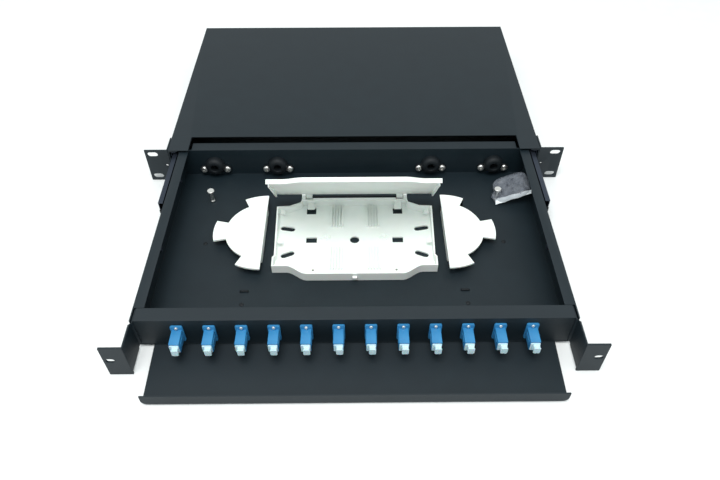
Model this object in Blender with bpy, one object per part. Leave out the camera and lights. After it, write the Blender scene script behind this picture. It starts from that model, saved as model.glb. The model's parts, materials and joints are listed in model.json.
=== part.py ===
"""Sliding 19-inch fibre termination box, one rack unit high.

A fixed chassis carries two rack ears.  A drawer runs out of it on two
three-member telescopic slides and holds the front adapter panel, the cable
shelf, the splice cassette, two half-moon fibre guides, the cable glands and
the anchor posts.  The rest pose is the drawer pulled out and the lid up.

Units are metres, +Z is up, +Y points into the rack, left is -X.
"""
import math

import bmesh
import bpy
from mathutils import Matrix, Vector

MM = 0.001

# Rack interface (19-inch, one unit).
RACK_WIDTH = 482.6 * MM
UNIT_HEIGHT = 44.0 * MM
RACK_SLOT_X = 232.5 * MM
RACK_SLOT_DZ = 15.875 * MM
RACK_SLOT_SIZE = (12.0 * MM, 6.5 * MM)
EAR_THICK = 2.0 * MM
EAR_WING_DEPTH = 24.0 * MM
EAR_WING_THICK = 1.6 * MM
LOCK_HOLE_X = 219.0 * MM
LOCK_HOLE_RADIUS = 1.4 * MM

# Chassis.
CHASSIS_HALF_WIDTH = 213.9 * MM
CHASSIS_DEPTH = 283.0 * MM
SHEET = 1.2 * MM
COVER_THICK = 1.0 * MM
COVER_NOTCH_HALF_WIDTH = 190.5 * MM
COVER_NOTCH_DEPTH = 25.0 * MM
REAR_LIP = 8.0 * MM
COVER_HEM_BOTTOM = 41.0 * MM
CHASSIS_FLANGE = 9.0 * MM
GAP = 0.3 * MM

# Telescopic slides, 10.7 mm of side space each.
SLIDE_HEIGHT = 34.0 * MM
SLIDE_MID_Z = 22.0 * MM
SLIDE_CLEARANCE = 1.0 * MM
CABINET_SLIDE_Y = (3.0 * MM, 253.0 * MM)
INTERMEDIATE_SLIDE_Y = (-80.0 * MM, 135.0 * MM)
DRAWER_SLIDE_Y = (-205.0 * MM, 0.0 * MM)
DRAWER_SLIDE_HEIGHT = 18.0 * MM
DRAWER_SLIDE_TIP_X = 205.2 * MM
BUMPER_SIZE = (6.0 * MM, 1.7 * MM, 12.0 * MM)

# Drawer.
DRAWER_HALF_WIDTH = 202.0 * MM
DRAWER_BOTTOM = 3.0 * MM
DRAWER_TOP = 40.0 * MM
DRAWER_FLANGE = 10.5 * MM
DRAWER_REAR_WALL_Y = 5.0 * MM
DRAWER_REAR_FLANGE = 12.0 * MM
DRAWER_REAR_FLANGE_HALF_WIDTH = 188.5 * MM
PANEL_FRONT_Y = -237.0 * MM
PANEL_HALF_WIDTH = 198.4 * MM
PANEL_FLANGE = 14.5 * MM
HANDLE_FRONT_Y = -267.0 * MM
HANDLE_HALF_WIDTH = 221.7 * MM
HANDLE_BACK_Y = -209.0 * MM
HANDLE_SIDE_THICK = 1.6 * MM
HANDLE_SIDE_X = 200.4 * MM
HANDLE_EAR_Z = (0.0 * MM, 41.0 * MM)
HANDLE_SLOT_X = 215.5 * MM
HANDLE_SLOT_SIZE = (8.0 * MM, 5.2 * MM)

# Cable shelf in front of the panel.
SHELF_HALF_REAR = 188.3 * MM
SHELF_HALF_FRONT = 186.0 * MM
SHELF_FRONT_Y = -298.0 * MM
SHELF_BACK_Y = -214.0 * MM
SHELF_BOTTOM = 1.5 * MM
SHELF_LIP_TOP = 13.8 * MM
SHELF_CORNER = 5.0 * MM

# Adapters and their dust caps.
ADAPTER_COUNT = 12
ADAPTER_PITCH = 29.3 * MM
ADAPTER_Z = 22.3 * MM
ADAPTER_BODY = (9.3 * MM, 12.8 * MM)
ADAPTER_FLANGE = (11.2 * MM, 22.0 * MM)
ADAPTER_FLANGE_THICK = 1.8 * MM
ADAPTER_FRONT_LENGTH = 15.5 * MM
ADAPTER_REAR_LENGTH = 12.0 * MM
ADAPTER_PORT = (7.8 * MM, 9.4 * MM)
ADAPTER_PORT_DEPTH = 11.0 * MM
PANEL_PORT = (9.9 * MM, 13.4 * MM)
CAP_PLUG = (7.2 * MM, 8.8 * MM)
CAP_PLUG_LENGTH = 8.0 * MM
CAP_COLLAR = (8.6 * MM, 9.6 * MM)
CAP_COLLAR_THICK = 0.9 * MM
CAP_HEAD = (6.4 * MM, 8.0 * MM)
CAP_HEAD_LENGTH = 5.5 * MM
CAP_HEAD_SHIFT = 1.0 * MM

# Cable glands in the drawer's rear wall.
GLAND_X = (-163.5 * MM, -90.0 * MM, 90.0 * MM, 163.5 * MM)
GLAND_Z = 19.5 * MM
GLAND_DOME_RADIUS = 10.8 * MM
GLAND_BARREL_RADIUS = 8.0 * MM
GLAND_BORE_RADIUS = 4.5 * MM
GLAND_FLANGE_THICK = 2.2 * MM
GLAND_DOME_LENGTH = 6.5 * MM
GLAND_BARREL_LENGTH = 10.0 * MM
GLAND_EAR_X = 13.6 * MM
GLAND_EAR_DROP = 5.6 * MM
GLAND_EAR_RADIUS = 4.6 * MM

# Anchor posts for the cables' strength members.
POST_X = 162.0 * MM
POST_Y = -43.0 * MM
POST_PROFILE = ((2.8, 0.0), (2.8, 2.4), (2.4, 2.6), (2.4, 13.4), (4.0, 13.6), (4.0, 16.3))

# Splice cassette.
CASSETTE_BOTTOM = DRAWER_BOTTOM + SHEET + GAP
CASSETTE_HEIGHT = 10.5 * MM
CASSETTE_WALL = 1.6 * MM
CASSETTE_FLOOR = 1.8 * MM
CASSETTE_REAR_Y = -52.5 * MM
CASSETTE_SHOULDER_Y = -63.8 * MM
CASSETTE_EAR_Y = (-139.0 * MM, -151.3 * MM)
CASSETTE_FRONT_Y = -162.0 * MM
CASSETTE_SWEEP_X = (70.0 * MM, 49.0 * MM)
CASSETTE_LUG_X = (55.0 * MM, 59.0 * MM)
CASSETTE_LEDGE = (46.6 * MM, -50.4 * MM, 1.8 * MM)
CASSETTE_HALF_REAR = 86.0 * MM
CASSETTE_HALF_WAIST = 83.4 * MM
CASSETTE_HALF_EAR = 85.2 * MM
HINGE_Y = -46.5 * MM
HINGE_Z = 13.5 * MM
HINGE_PIN_RADIUS = 1.0 * MM
HINGE_HOLE_RADIUS = 1.35 * MM
HINGE_KNUCKLE_RADIUS = 3.0 * MM
LID_OPEN_ANGLE = math.radians(50.0)
LID_THICK = 1.5 * MM
LID_OVERHANG = 2.0 * MM
LID_RIM = 1.3 * MM
LID_RIM_DROP = 3.0 * MM
LID_REAR_Y = -53.0 * MM
LID_HALF_FRONT = 85.2 * MM
LID_KNUCKLE_X = (47.4 * MM, 54.4 * MM)
COMB_X = (-19.5 * MM, 20.0 * MM)
COMB_Y = (-72.0 * MM, -134.0 * MM)
COMB_RIB = (1.0 * MM, 32.0 * MM, 3.0 * MM)
COMB_PITCH = 3.0 * MM
COMB_RIBS = 5
TONGUE_X = 48.2 * MM
TONGUE_WIDTH = 7.5 * MM
TONGUE_FRONT_Y = -65.0 * MM

# Half-moon fibre guides.
GUIDE_X = 96.5 * MM
GUIDE_Y = -100.5 * MM
GUIDE_BODY_RADIUS = 41.5 * MM
GUIDE_TAB_RADIUS = 54.5 * MM
GUIDE_WALL_RADIUS = 37.0 * MM
GUIDE_WALL = 1.8 * MM
GUIDE_TOP = 15.0 * MM
GUIDE_PLATE = 2.0 * MM
GUIDE_TAB_ANGLES = ((-90.0, -62.0), (-15.5, 15.5), (62.0, 90.0))
GUIDE_SCREW_Y = (6.5 * MM, -23.5 * MM)
GUIDE_SCREW_DX = 13.5 * MM

# Bag of spare screws and splice sleeves, lying against the right wall.
BAG_CENTER = (179.4 * MM, -34.2 * MM, 15.6 * MM)
BAG_HALF_SIZE = (20.8 * MM, 19.4 * MM, 6.0 * MM)
BAG_TILT = math.radians(-24.0)
BAG_POST_CLEARANCE = 5.6 * MM

# The frame's origin is the middle of the whole box in plan, so the rack-ear
# plane lies a little behind it.
EAR_PLANE_Y = -(SHELF_FRONT_Y + CHASSIS_DEPTH) / 2.0

ROUND_STEPS = 24


def clear_scene():
    """Remove every object that is already in the scene."""
    for item in list(bpy.data.objects):
        bpy.data.objects.remove(item, do_unlink=True)


def material(name, color, roughness, metallic=0.0):
    """Return a Principled material."""
    mat = bpy.data.materials.new(name)
    mat.use_nodes = True
    shader = mat.node_tree.nodes["Principled BSDF"]
    shader.inputs["Base Color"].default_value = (*color, 1.0)
    shader.inputs["Roughness"].default_value = roughness
    shader.inputs["Metallic"].default_value = metallic
    return mat


def place(item, parent):
    """Link an object and hang it on a parent."""
    bpy.context.scene.collection.objects.link(item)
    item.parent = parent
    return item


def empty(name, location, parent=None):
    """Make an empty that carries a moving group."""
    group = bpy.data.objects.new(name, None)
    group.location = location
    group.empty_display_size = 0.02
    return place(group, parent)


def solid(name, shapes, mat, parent, smooth=False):
    """Make one object from a list of closed bmesh shapes."""
    mesh = bpy.data.meshes.new(name)
    joined = bmesh.new()
    for shape in shapes:
        part = bpy.data.meshes.new("shape")
        shape.to_mesh(part)
        joined.from_mesh(part)
        shape.free()
        bpy.data.meshes.remove(part)
    bmesh.ops.recalc_face_normals(joined, faces=joined.faces)
    joined.to_mesh(mesh)
    joined.free()
    item = bpy.data.objects.new(name, mesh)
    if mat is not None:
        mesh.materials.append(mat)
    if smooth:
        mesh.shade_smooth()
        mesh.set_sharp_from_angle(angle=math.radians(35.0))
    return place(item, parent)


def combine(item, shapes, operation):
    """Cut shapes out of an object, or join them on, with one Boolean."""
    tool = solid(item.name + "_" + operation.lower(), shapes, None, item.parent)
    tool.hide_render = True
    tool.display_type = "WIRE"
    modifier = item.modifiers.new(operation.title(), "BOOLEAN")
    modifier.operation = operation
    modifier.solver = "EXACT"
    modifier.object = tool


def box(low, high):
    """Closed box between two corners."""
    shape = bmesh.new()
    bmesh.ops.create_cube(shape, size=1.0)
    size = Vector(high) - Vector(low)
    middle = (Vector(high) + Vector(low)) / 2.0
    bmesh.ops.scale(shape, vec=size, verts=shape.verts)
    bmesh.ops.translate(shape, vec=middle, verts=shape.verts)
    return shape


def prism(outline, low, high, axis="Z"):
    """Closed prism of a 2-D outline, extruded along an axis from low to high.

    The outline is in (X, Y) for axis Z, (X, Z) for axis Y, (Y, Z) for axis X.
    """
    def point(a, b, c):
        if axis == "Z":
            return (a, b, c)
        if axis == "Y":
            return (a, c, b)
        return (c, a, b)

    shape = bmesh.new()
    lower = [shape.verts.new(point(a, b, low)) for a, b in outline]
    upper = [shape.verts.new(point(a, b, high)) for a, b in outline]
    shape.faces.new(lower)
    shape.faces.new(upper)
    count = len(outline)
    for i in range(count):
        j = (i + 1) % count
        shape.faces.new((lower[i], lower[j], upper[j], upper[i]))
    return shape


def circle(center, radius, steps=ROUND_STEPS):
    """Points of a circle, counter-clockwise."""
    return arc(center, radius, 0.0, 360.0 * (steps - 1) / steps, steps)


def arc(center, radius, start, end, steps):
    """Points on an arc from start to end, in degrees."""
    points = []
    for i in range(steps):
        angle = math.radians(start + (end - start) * i / (steps - 1))
        points.append((center[0] + radius * math.cos(angle), center[1] + radius * math.sin(angle)))
    return points


def oblong(center, length, width, angle=0.0, steps=7):
    """Slot outline with round ends, turned by angle degrees."""
    reach = (length - width) / 2.0
    turn = math.radians(angle)
    right = (center[0] + reach * math.cos(turn), center[1] + reach * math.sin(turn))
    left = (center[0] - reach * math.cos(turn), center[1] - reach * math.sin(turn))
    first = arc(right, width / 2.0, angle - 90.0, angle + 90.0, steps)
    second = arc(left, width / 2.0, angle + 90.0, angle + 270.0, steps)
    return first + second


def rectangle(center, size, angle=0.0):
    """Rectangle outline turned by angle degrees."""
    turn = math.radians(angle)
    points = []
    for a, b in ((-0.5, -0.5), (0.5, -0.5), (0.5, 0.5), (-0.5, 0.5)):
        x = a * size[0]
        y = b * size[1]
        points.append((center[0] + x * math.cos(turn) - y * math.sin(turn),
                       center[1] + x * math.sin(turn) + y * math.cos(turn)))
    return points


def inset(outline, distance):
    """Offset a counter-clockwise outline inward by distance, corners mitred."""
    count = len(outline)
    result = []
    for i in range(count):
        before = Vector(outline[i - 1])
        here = Vector(outline[i])
        after = Vector(outline[(i + 1) % count])
        into = (here - before).normalized()
        out = (after - here).normalized()
        normal_in = Vector((-into.y, into.x))
        normal_out = Vector((-out.y, out.x))
        middle = (normal_in + normal_out).normalized()
        reach = distance / max(0.3, middle.dot(normal_in))
        result.append(tuple(here + middle * reach))
    return result


def mirrored(half):
    """Close an outline from its right half, given from the rear to the front."""
    left = [(-x, y) for x, y in half]
    return left + list(reversed(half))


def loft(rings, axis_xz):
    """Closed solid through rectangles: rings of (y, width, height), capped.

    axis_xz is the (x, z) of the line that the rectangles are centred on.  A
    fourth number in a ring shifts it along X.
    """
    shape = bmesh.new()
    loops = []
    for y, width, height, *shift in rings:
        loop = []
        middle = axis_xz[0] + sum(shift)
        for a, b in ((-0.5, -0.5), (0.5, -0.5), (0.5, 0.5), (-0.5, 0.5)):
            loop.append(shape.verts.new((middle + a * width, y, axis_xz[1] + b * height)))
        loops.append(loop)
    shape.faces.new(loops[0])
    shape.faces.new(loops[-1])
    for first, second in zip(loops, loops[1:]):
        for i in range(4):
            j = (i + 1) % 4
            shape.faces.new((first[i], first[j], second[j], second[i]))
    return shape


def turned(profile, center, steps=ROUND_STEPS):
    """Closed turned solid about Z: profile of (radius, height) in metres."""
    shape = bmesh.new()
    loops = []
    for radius, height in profile:
        ring = circle(center[:2], radius, steps)
        loops.append([shape.verts.new((x, y, center[2] + height)) for x, y in ring])
    shape.faces.new(loops[0])
    shape.faces.new(loops[-1])
    for first, second in zip(loops, loops[1:]):
        for i in range(steps):
            j = (i + 1) % steps
            shape.faces.new((first[i], first[j], second[j], second[i]))
    return shape


def pillow(center, half_size, tilt, rows=7, columns=14):
    """Closed puffed bag shape, a flattened superellipsoid."""
    def bulge(value, power):
        return math.copysign(abs(value) ** power, value)

    shape = bmesh.new()
    loops = []
    for row in range(1, rows):
        rise = math.pi * (row / rows - 0.5)
        ring = []
        for column in range(columns):
            turn = 2.0 * math.pi * column / columns
            across = bulge(math.cos(rise), 0.6)
            ring.append(shape.verts.new((half_size[0] * across * bulge(math.cos(turn), 0.5),
                                         half_size[1] * across * bulge(math.sin(turn), 0.5),
                                         half_size[2] * bulge(math.sin(rise), 0.9))))
        loops.append(ring)
    shape.faces.new(loops[0])
    shape.faces.new(loops[-1])
    for first, second in zip(loops, loops[1:]):
        for i in range(columns):
            j = (i + 1) % columns
            shape.faces.new((first[i], first[j], second[j], second[i]))
    turn = Matrix.Rotation(tilt, 4, "Y")
    bmesh.ops.transform(shape, matrix=Matrix.Translation(center) @ turn, verts=shape.verts)
    return shape


# --- chassis -----------------------------------------------------------------

def make_chassis(root, steel):
    """Base tray with its two sides, and the screwed-on top cover."""
    side_top = UNIT_HEIGHT - COVER_THICK - GAP
    inner = CHASSIS_HALF_WIDTH - SHEET
    section = [(-CHASSIS_HALF_WIDTH, 0.0), (CHASSIS_HALF_WIDTH, 0.0), (CHASSIS_HALF_WIDTH, side_top),
               (inner - CHASSIS_FLANGE, side_top), (inner - CHASSIS_FLANGE, side_top - SHEET),
               (inner, side_top - SHEET), (inner, SHEET), (-inner, SHEET), (-inner, side_top - SHEET),
               (CHASSIS_FLANGE - inner, side_top - SHEET), (CHASSIS_FLANGE - inner, side_top),
               (-CHASSIS_HALF_WIDTH, side_top)]
    base = solid("chassis_base", [prism(section, 0.0, CHASSIS_DEPTH, "Y")], steel, root)
    lip = box((-inner - SHEET / 2, CHASSIS_DEPTH - SHEET, SHEET / 2),
              (inner + SHEET / 2, CHASSIS_DEPTH, REAR_LIP))
    combine(base, [lip], "UNION")

    notch = COVER_NOTCH_HALF_WIDTH
    edge = CHASSIS_HALF_WIDTH
    outline = [(-edge, 0.0), (-notch, 0.0), (-notch, COVER_NOTCH_DEPTH), (notch, COVER_NOTCH_DEPTH),
               (notch, 0.0), (edge, 0.0), (edge, CHASSIS_DEPTH), (-edge, CHASSIS_DEPTH)]
    cover = solid("top_cover", [prism(outline, UNIT_HEIGHT - COVER_THICK, UNIT_HEIGHT)], steel, root)
    rear = CHASSIS_DEPTH - 2.0 * SHEET - GAP
    hem_half = inner - CHASSIS_FLANGE - GAP
    hem = box((-hem_half, rear, COVER_HEM_BOTTOM),
              (hem_half, rear + SHEET, UNIT_HEIGHT - COVER_THICK / 2))
    combine(cover, [hem], "UNION")


def make_rack_ear(side, name, root, steel):
    """L-shaped rack bracket: slotted front plate and a wing on the chassis side."""
    inner = CHASSIS_HALF_WIDTH + GAP
    outline = [(inner, 0.0), (RACK_WIDTH / 2.0, 0.0), (RACK_WIDTH / 2.0, EAR_THICK),
               (inner + EAR_WING_THICK, EAR_THICK), (inner + EAR_WING_THICK, EAR_WING_DEPTH),
               (inner, EAR_WING_DEPTH)]
    outline = [(side * x, y) for x, y in outline]
    ear = solid(name, [prism(outline, 0.0, UNIT_HEIGHT)], steel, root)
    middle = UNIT_HEIGHT / 2.0
    cutters = []
    for rise in (-RACK_SLOT_DZ, RACK_SLOT_DZ):
        slot = oblong((side * RACK_SLOT_X, middle + rise), *RACK_SLOT_SIZE)
        cutters.append(prism(slot, -EAR_THICK, 2.0 * EAR_THICK, "Y"))
    hole = circle((side * LOCK_HOLE_X, middle), LOCK_HOLE_RADIUS, 16)
    cutters.append(prism(hole, -EAR_THICK, 2.0 * EAR_THICK, "Y"))
    combine(ear, cutters, "DIFFERENCE")


# --- slides ------------------------------------------------------------------

def slide_member(name, side, web, tip, half_height, span, mat, parent):
    """C-shaped slide member: a web with two flanges that reach to tip."""
    outward = 1.0 if tip > web[0] else -1.0
    back = web[0] if outward > 0 else web[1]
    face = web[1] if outward > 0 else web[0]
    low = SLIDE_MID_Z - half_height
    high = SLIDE_MID_Z + half_height
    section = [(back, low), (tip, low), (tip, low + SHEET), (face, low + SHEET), (face, high - SHEET),
               (tip, high - SHEET), (tip, high), (back, high)]
    section = [(side * x, z) for x, z in section]
    return solid(name, [prism(section, *span, "Y")], mat, parent)


def make_slides(side, word, root, middle, drawer, zinc, rubber):
    """The three members of one telescopic slide, and the end bumper."""
    chassis_wall = CHASSIS_HALF_WIDTH - SHEET
    half = SLIDE_HEIGHT / 2.0
    step = SHEET + SLIDE_CLEARANCE
    cabinet_web = (chassis_wall - GAP - SHEET, chassis_wall - GAP)
    middle_web = (cabinet_web[0] - step - GAP, cabinet_web[0] - SLIDE_CLEARANCE - GAP)
    drawer_web = (DRAWER_HALF_WIDTH + GAP, DRAWER_HALF_WIDTH + GAP + SHEET)
    slide_member("cabinet_slide_" + word, side, cabinet_web, DRAWER_HALF_WIDTH + 4.2 * MM, half,
                 CABINET_SLIDE_Y, zinc, root)
    slide_member("intermediate_slide_" + word, side, middle_web, drawer_web[1] + SLIDE_CLEARANCE,
                 half - step, INTERMEDIATE_SLIDE_Y, zinc, middle)
    slide_member("drawer_slide_" + word, side, drawer_web, DRAWER_SLIDE_TIP_X,
                 DRAWER_SLIDE_HEIGHT / 2.0, DRAWER_SLIDE_Y, zinc, drawer)
    width, depth, height = BUMPER_SIZE
    bumper_x = side * (middle_web[1] - width / 2.0)
    back = INTERMEDIATE_SLIDE_Y[0] - GAP
    bumper = box((bumper_x - width / 2, back - depth, SLIDE_MID_Z - height / 2),
                 (bumper_x + width / 2, back, SLIDE_MID_Z + height / 2))
    solid("slide_bumper_" + word, [bumper], rubber, middle)


# --- drawer ------------------------------------------------------------------

def make_drawer_tray(drawer, steel):
    """Folded drawer: floor, two flanged sides and the flanged rear wall."""
    outer = DRAWER_HALF_WIDTH
    inner = outer - SHEET
    floor_top = DRAWER_BOTTOM + SHEET
    under_flange = DRAWER_TOP - SHEET
    wall_back = DRAWER_REAR_WALL_Y + SHEET
    rear = wall_back + DRAWER_REAR_FLANGE
    spare = 5.0 * MM
    front = PANEL_FRONT_Y
    block = box((-outer, front, DRAWER_BOTTOM), (outer, rear, DRAWER_TOP))
    tray = solid("drawer_tray", [block], steel, drawer)
    inside = box((-inner, front - spare, floor_top), (inner, DRAWER_REAR_WALL_Y, under_flange))
    combine(tray, [inside], "DIFFERENCE")
    mouth_half = outer - DRAWER_FLANGE
    mouth = box((-mouth_half, front - 2 * spare, under_flange - spare),
                (mouth_half, DRAWER_REAR_WALL_Y, DRAWER_TOP + spare))
    behind = box((-outer - spare, wall_back, DRAWER_BOTTOM - spare),
                 (outer + spare, rear + spare, under_flange))
    combine(tray, [mouth, behind], "DIFFERENCE")
    flange_end = PANEL_FRONT_Y + PANEL_FLANGE + GAP
    trims = [box((-inner, front - 3 * spare, under_flange - 2 * spare),
                 (inner, flange_end, DRAWER_TOP + 2 * spare))]
    for side in (-1.0, 1.0):
        near = side * DRAWER_REAR_FLANGE_HALF_WIDTH
        far = side * (outer + 2 * spare)
        trims.append(box((min(near, far), wall_back, under_flange - spare / 2),
                         (max(near, far), rear + 2 * spare, DRAWER_TOP + spare)))
    combine(tray, trims, "DIFFERENCE")
    combine(tray, gland_bores(), "DIFFERENCE")


def gland_bores():
    """Bores for the cable glands in the drawer's rear wall."""
    deep = 6.0 * MM
    cutters = []
    for x in GLAND_X:
        bore = circle((x, GLAND_Z), GLAND_BARREL_RADIUS + GAP)
        cutters.append(prism(bore, DRAWER_REAR_WALL_Y - deep, DRAWER_REAR_WALL_Y + deep, "Y"))
    return cutters


def make_front_panel(drawer, steel):
    """Adapter panel with its top flange folded back into the drawer."""
    half = PANEL_HALF_WIDTH
    bottom = DRAWER_BOTTOM + SHEET + GAP
    front = PANEL_FRONT_Y
    back = front + SHEET
    section = [(front, bottom), (back, bottom), (back, DRAWER_TOP - SHEET),
               (front + PANEL_FLANGE, DRAWER_TOP - SHEET), (front + PANEL_FLANGE, DRAWER_TOP),
               (front, DRAWER_TOP)]
    panel = solid("front_panel", [prism(section, -half, half, "X")], steel, drawer)
    ports = []
    for x in adapter_positions():
        ports.append(prism(rectangle((x, ADAPTER_Z), PANEL_PORT), front - SHEET, front + 2 * SHEET, "Y"))
    combine(panel, ports, "DIFFERENCE")


def make_handle_bracket(side, name, drawer, steel):
    """Front ear of the drawer; its wing is joggled to pass inside the drawer's side."""
    front = HANDLE_FRONT_Y
    step_front = PANEL_FRONT_Y - 1.6 * MM
    step_back = PANEL_FRONT_Y + 0.4 * MM
    inner = HANDLE_SIDE_X
    outer = HANDLE_SIDE_X + HANDLE_SIDE_THICK
    shift = -HANDLE_SIDE_THICK
    outline = [(inner, front), (HANDLE_HALF_WIDTH, front), (HANDLE_HALF_WIDTH, front + EAR_THICK),
               (outer, front + EAR_THICK), (outer, step_front - MM), (outer + shift, step_back - MM),
               (outer + shift, HANDLE_BACK_Y), (inner + shift, HANDLE_BACK_Y), (inner + shift, step_back),
               (inner, step_front)]
    outline = [(side * x, y) for x, y in outline]
    bracket = solid(name, [prism(outline, *HANDLE_EAR_Z)], steel, drawer)
    spare = 4.0 * MM
    slot = oblong((side * HANDLE_SLOT_X, UNIT_HEIGHT / 2.0), *HANDLE_SLOT_SIZE)
    combine(bracket, [prism(slot, front - spare, front + 2 * spare, "Y")], "DIFFERENCE")
    near = side * (inner + shift - spare)
    far = side * (outer + spare)
    ends = ((front + EAR_THICK, DRAWER_BOTTOM, DRAWER_TOP),
            (step_front - 2 * MM, DRAWER_BOTTOM + SHEET + GAP, DRAWER_TOP - SHEET - GAP))
    for start, floor, ceiling in ends:
        trims = [box((min(near, far), start, low), (max(near, far), HANDLE_BACK_Y + spare, high))
                 for low, high in ((-spare, floor), (ceiling, UNIT_HEIGHT + spare))]
        combine(bracket, trims, "DIFFERENCE")


def make_cable_shelf(drawer, steel):
    """Cable ledge ahead of the panel, with an up-turned lip along its front edge."""
    half = SHELF_HALF_FRONT
    corner = SHELF_CORNER
    outline = arc((corner - half, SHELF_BOTTOM + corner), corner, 180.0, 270.0, 6)
    outline += arc((half - corner, SHELF_BOTTOM + corner), corner, 270.0, 360.0, 6)
    outline += [(half, SHELF_LIP_TOP), (-half, SHELF_LIP_TOP)]
    lip = prism(outline, SHELF_FRONT_Y, SHELF_FRONT_Y + SHEET, "Y")
    shelf = solid("cable_shelf", [lip], steel, drawer)
    front = SHELF_FRONT_Y + SHEET / 2
    sheet = [(corner - half, front), (half - corner, front), (half, front + corner),
             (SHELF_HALF_REAR, SHELF_BACK_Y), (-SHELF_HALF_REAR, SHELF_BACK_Y), (-half, front + corner)]
    combine(shelf, [prism(sheet, SHELF_BOTTOM, SHELF_BOTTOM + SHEET)], "UNION")


def adapter_positions():
    """Centres of the adapters across the panel, left to right."""
    first = -ADAPTER_PITCH * (ADAPTER_COUNT - 1) / 2.0
    return [first + ADAPTER_PITCH * i for i in range(ADAPTER_COUNT)]


def make_adapters(drawer, blue, white):
    """The row of adapters and the dust cap in each front port."""
    flange_back = PANEL_FRONT_Y - GAP
    flange_front = flange_back - ADAPTER_FLANGE_THICK
    nose = flange_front - ADAPTER_FRONT_LENGTH
    tail = PANEL_FRONT_Y + SHEET + ADAPTER_REAR_LENGTH
    for i, x in enumerate(adapter_positions()):
        number = "%02d" % (i + 1)
        rings = [(nose + ADAPTER_PORT_DEPTH, *ADAPTER_PORT), (nose, *ADAPTER_PORT), (nose, *ADAPTER_BODY),
                 (flange_front, *ADAPTER_BODY), (flange_front, *ADAPTER_FLANGE),
                 (flange_back, *ADAPTER_FLANGE), (flange_back, *ADAPTER_BODY), (tail, *ADAPTER_BODY),
                 (tail, *ADAPTER_PORT), (tail - ADAPTER_PORT_DEPTH, *ADAPTER_PORT)]
        solid("adapter_" + number, [loft(rings, (x, ADAPTER_Z))], blue, drawer)
        puller = empty("dust_cap_pull_" + number, (x, nose, ADAPTER_Z), drawer)
        neck = -GAP - CAP_COLLAR_THICK
        rings = [(CAP_PLUG_LENGTH, *CAP_PLUG), (-GAP, *CAP_PLUG), (-GAP, *CAP_COLLAR),
                 (neck, *CAP_COLLAR), (neck, *CAP_HEAD, CAP_HEAD_SHIFT),
                 (-CAP_HEAD_LENGTH, *CAP_HEAD, CAP_HEAD_SHIFT)]
        solid("dust_cap_" + number, [loft(rings, (0.0, 0.0))], white, puller)


def make_glands(drawer, rubber):
    """Domed cable glands, each a flange, a dome, a rear barrel and a bore."""
    front = DRAWER_REAR_WALL_Y - GAP - GLAND_FLANGE_THICK
    for i, x in enumerate(GLAND_X):
        foot = (x, GLAND_Z - GLAND_EAR_DROP)
        ears = oblong(foot, 2.0 * (GLAND_EAR_X + GLAND_EAR_RADIUS), 2.0 * GLAND_EAR_RADIUS)
        gland = solid("cable_gland_%d" % (i + 1), [prism(ears, front, DRAWER_REAR_WALL_Y - GAP, "Y")],
                      rubber, drawer, smooth=True)
        dome = bmesh.new()
        profile = [(GLAND_BARREL_RADIUS, DRAWER_REAR_WALL_Y + SHEET + GLAND_BARREL_LENGTH),
                   (GLAND_BARREL_RADIUS, DRAWER_REAR_WALL_Y - GAP),
                   (GLAND_DOME_RADIUS, DRAWER_REAR_WALL_Y - GAP),
                   (GLAND_DOME_RADIUS, front - 0.3 * GLAND_DOME_LENGTH),
                   (0.88 * GLAND_DOME_RADIUS, front - 0.75 * GLAND_DOME_LENGTH),
                   (0.62 * GLAND_DOME_RADIUS, front - GLAND_DOME_LENGTH),
                   (GLAND_BORE_RADIUS, front - GLAND_DOME_LENGTH)]
        turned_rings(dome, profile, (x, GLAND_Z))
        combine(gland, [dome], "UNION")
        bore = prism(circle((x, GLAND_Z), GLAND_BORE_RADIUS), front - 2 * GLAND_DOME_LENGTH,
                     DRAWER_REAR_WALL_Y + 2 * GLAND_BARREL_LENGTH, "Y")
        holes = [bore]
        for side in (-1.0, 1.0):
            hole = circle((foot[0] + side * GLAND_EAR_X, foot[1]), 1.5 * MM, 12)
            holes.append(prism(hole, front - 2 * MM, DRAWER_REAR_WALL_Y + 0.2 * MM, "Y"))
        combine(gland, holes, "DIFFERENCE")


def turned_rings(shape, profile, axis_xz, steps=20):
    """Add a closed turned solid about a line along Y to a bmesh."""
    loops = []
    for radius, y in profile:
        ring = circle(axis_xz, radius, steps)
        loops.append([shape.verts.new((x, y, z)) for x, z in ring])
    shape.faces.new(loops[0])
    shape.faces.new(loops[-1])
    for first, second in zip(loops, loops[1:]):
        for i in range(steps):
            j = (i + 1) % steps
            shape.faces.new((first[i], first[j], second[j], second[i]))


def make_posts(drawer, nickel):
    """Anchor posts that the cables' strength members are tied to."""
    for side, word in ((-1.0, "left"), (1.0, "right")):
        profile = [(radius * MM, height * MM) for radius, height in POST_PROFILE]
        center = (side * POST_X, POST_Y, DRAWER_BOTTOM + SHEET + GAP)
        solid("anchor_post_" + word, [turned(profile, center, 16)], nickel, drawer, smooth=True)


# --- splice cassette ---------------------------------------------------------

def cassette_outline(grow=0.0):
    """Tray outline: stepped rear shoulders, tapered sides, front ears, bowed front."""
    ear_back, ear_front = CASSETTE_EAR_Y
    half = [(CASSETTE_LUG_X[1], CASSETTE_REAR_Y), (CASSETTE_LUG_X[1] + MM, -57.0 * MM),
            (72.0 * MM, CASSETTE_SHOULDER_Y + MM), (CASSETTE_HALF_REAR, CASSETTE_SHOULDER_Y),
            (CASSETTE_HALF_WAIST, ear_back + 2.5 * MM), (CASSETTE_HALF_EAR, ear_back),
            (CASSETTE_HALF_EAR - 0.3 * MM, ear_front), (CASSETTE_SWEEP_X[0], ear_front)]
    half += front_sweep()
    outline = mirrored(half)
    return inset(outline, -grow)


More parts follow.
